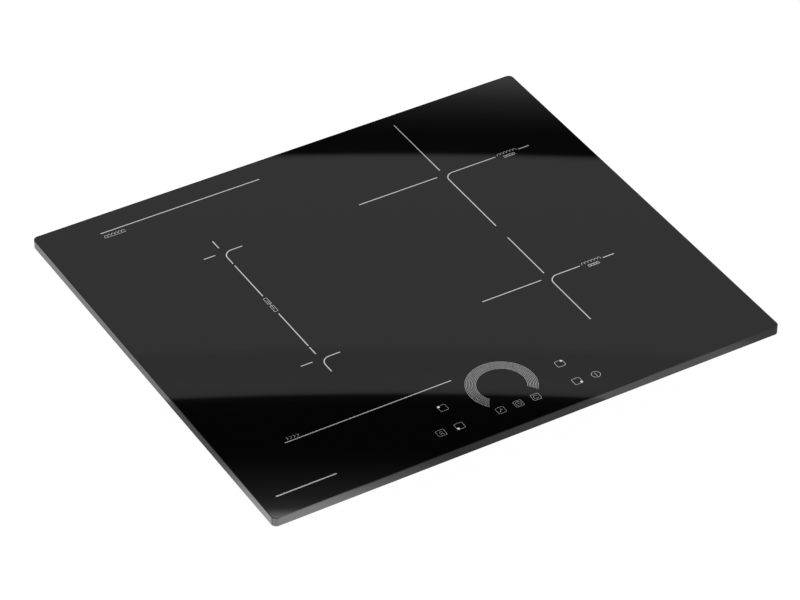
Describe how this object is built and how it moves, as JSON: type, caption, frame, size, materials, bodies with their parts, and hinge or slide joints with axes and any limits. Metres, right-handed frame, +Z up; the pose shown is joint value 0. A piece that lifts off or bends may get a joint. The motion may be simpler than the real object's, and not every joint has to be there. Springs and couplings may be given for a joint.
{
  "type": "built-in induction hob",
  "caption": "Flat glass-topped induction hob with a pressed steel tray, spring-mounted coils, cooling blowers, touch controls and swivelling worktop brackets.",
  "frame": {"origin": "middle of the tray's underside, which is the lowest plane of the hob", "axes": "+Z up, +X to the cook's right along the long side of the glass, -Y towards the cook and the touch controls"},
  "size_m": [0.59, 0.52, 0.058],
  "materials": {
    "black_glass": "gloss black glass-ceramic, ground edge",
    "frame_grey": "satin dark grey",
    "silicone_black": "matte",
    "foam_tape": "closed-cell foam",
    "galvanised_steel": "galvanised sheet",
    "screw_steel": "zinc plated",
    "sheet_aluminium": "mill finish",
    "mica": "pressed mica",
    "carrier_plastic": "moulded",
    "copper_litz": "enamelled copper strands",
    "ferrite": "sintered",
    "spring_steel": "drawn wire",
    "silicone_white": "moulded silicone",
    "circuit_board": "solder mask",
    "extruded_aluminium": "extruded",
    "black_plastic": "moulded",
    "capacitor_plastic": "moulded case",
    "conductive_foam": "foam",
    "display_red": "segment display",
    "lead_grey": "insulation",
    "terminal_plastic": "moulded light grey",
    "brass": "turned",
    "zinc_steel": "zinc plated"
  },
  "bodies": {
    "hob": {"glass_panel": "black_glass", "carrier_frame": "frame_grey", "adhesive_bead": "silicone_black", "worktop_seal": "foam_tape", "tray_upper_pan": "galvanised_steel", "tray_lower_box": "galvanised_steel", "tray_screws": "screw_steel", "coil_support_plate": "sheet_aluminium", "plate_spacers": "screw_steel", "plate_screws": "screw_steel", "insulation_sheet": "mica", "board_holder": "carrier_plastic", "power_boards": "circuit_board", "filter_board": "circuit_board", "touch_board": "circuit_board", "heat_sinks": "extruded_aluminium", "power_switches": "black_plastic", "film_capacitors": "capacitor_plastic", "can_capacitors": "extruded_aluminium", "filter_chokes": "copper_litz", "relays": "black_plastic", "blower_housing_left": "black_plastic", "blower_housing_right": "black_plastic", "touch_board_holder": "carrier_plastic", "touch_pillars": "conductive_foam", "display_module": "display_red", "ribbon_lead": "lead_grey", "terminal_housing": "terminal_plastic", "terminal_block": "carrier_plastic", "terminal_screws": "brass", "cable_gland": "black_plastic", "internal_mains_lead": "lead_grey", "bracket_screws": "zinc_steel"},
    "coil_back_left": {"coil_carrier_back_left": "carrier_plastic", "coil_winding_back_left": "copper_litz", "ferrite_bars_back_left": "ferrite", "coil_springs_back_left": "spring_steel", "temperature_sensor_back_left": "silicone_white"},
    "coil_front_left": {"coil_carrier_front_left": "carrier_plastic", "coil_winding_front_left": "copper_litz", "ferrite_bars_front_left": "ferrite", "coil_springs_front_left": "spring_steel", "temperature_sensor_front_left": "silicone_white"},
    "coil_back_right": {"coil_carrier_back_right": "carrier_plastic", "coil_winding_back_right": "copper_litz", "ferrite_bars_back_right": "ferrite", "coil_springs_back_right": "spring_steel", "temperature_sensor_back_right": "silicone_white"},
    "coil_front_right": {"coil_carrier_front_right": "carrier_plastic", "coil_winding_front_right": "copper_litz", "ferrite_bars_front_right": "ferrite", "coil_springs_front_right": "spring_steel", "temperature_sensor_front_right": "silicone_white"},
    "impeller_left": {"blower_impeller_left": "black_plastic"},
    "impeller_right": {"blower_impeller_right": "black_plastic"},
    "terminal_flap": {"terminal_cover": "terminal_plastic"},
    "bracket_front_left": {"worktop_bracket_front_left": "zinc_steel"},
    "bracket_back_left": {"worktop_bracket_back_left": "zinc_steel"},
    "bracket_front_right": {"worktop_bracket_front_right": "zinc_steel"},
    "bracket_back_right": {"worktop_bracket_back_right": "zinc_steel"}
  },
  "joints": [
    {"name": "coil_back_left_float", "type": "slide", "parent": "hob", "child": "coil_back_left", "axis": [0, 0, 1], "range_m": [-0.0025, 0], "stiffness_N_per_m": 6000, "springref_m": 0.003, "deforming": ["coil_springs_back_left"]},
    {"name": "coil_front_left_float", "type": "slide", "parent": "hob", "child": "coil_front_left", "axis": [0, 0, 1], "range_m": [-0.0025, 0], "stiffness_N_per_m": 6000, "springref_m": 0.003, "deforming": ["coil_springs_front_left"]},
    {"name": "coil_back_right_float", "type": "slide", "parent": "hob", "child": "coil_back_right", "axis": [0, 0, 1], "range_m": [-0.0025, 0], "stiffness_N_per_m": 6000, "springref_m": 0.003, "deforming": ["coil_springs_back_right"]},
    {"name": "coil_front_right_float", "type": "slide", "parent": "hob", "child": "coil_front_right", "axis": [0, 0, 1], "range_m": [-0.0025, 0], "stiffness_N_per_m": 6000, "springref_m": 0.003, "deforming": ["coil_springs_front_right"]},
    {"name": "impeller_left_spin", "type": "hinge", "parent": "hob", "child": "impeller_left", "pos_m": [-0.19, -0.146, 0.012], "axis": [0, 0, 1], "continuous": true},
    {"name": "impeller_right_spin", "type": "hinge", "parent": "hob", "child": "impeller_right", "pos_m": [0.19, -0.146, 0.012], "axis": [0, 0, 1], "continuous": true},
    {"name": "terminal_flap_hinge", "type": "hinge", "parent": "hob", "child": "terminal_flap", "pos_m": [0.182, 0.2326, 0.028], "axis": [1, 0, 0], "range_deg": [0, 90]},
    {"name": "bracket_front_left_swivel", "type": "hinge", "parent": "hob", "child": "bracket_front_left", "pos_m": [-0.267, -0.12, 0.017], "axis": [0, 0, 1], "range_deg": [0, 90]},
    {"name": "bracket_back_left_swivel", "type": "hinge", "parent": "hob", "child": "bracket_back_left", "pos_m": [-0.267, 0.12, 0.017], "axis": [0, 0, 1], "range_deg": [0, 90]},
    {"name": "bracket_front_right_swivel", "type": "hinge", "parent": "hob", "child": "bracket_front_right", "pos_m": [0.267, -0.12, 0.017], "axis": [0, 0, 1], "range_deg": [0, 90]},
    {"name": "bracket_back_right_swivel", "type": "hinge", "parent": "hob", "child": "bracket_back_right", "pos_m": [0.267, 0.12, 0.017], "axis": [0, 0, 1], "range_deg": [0, 90]}
  ]
}
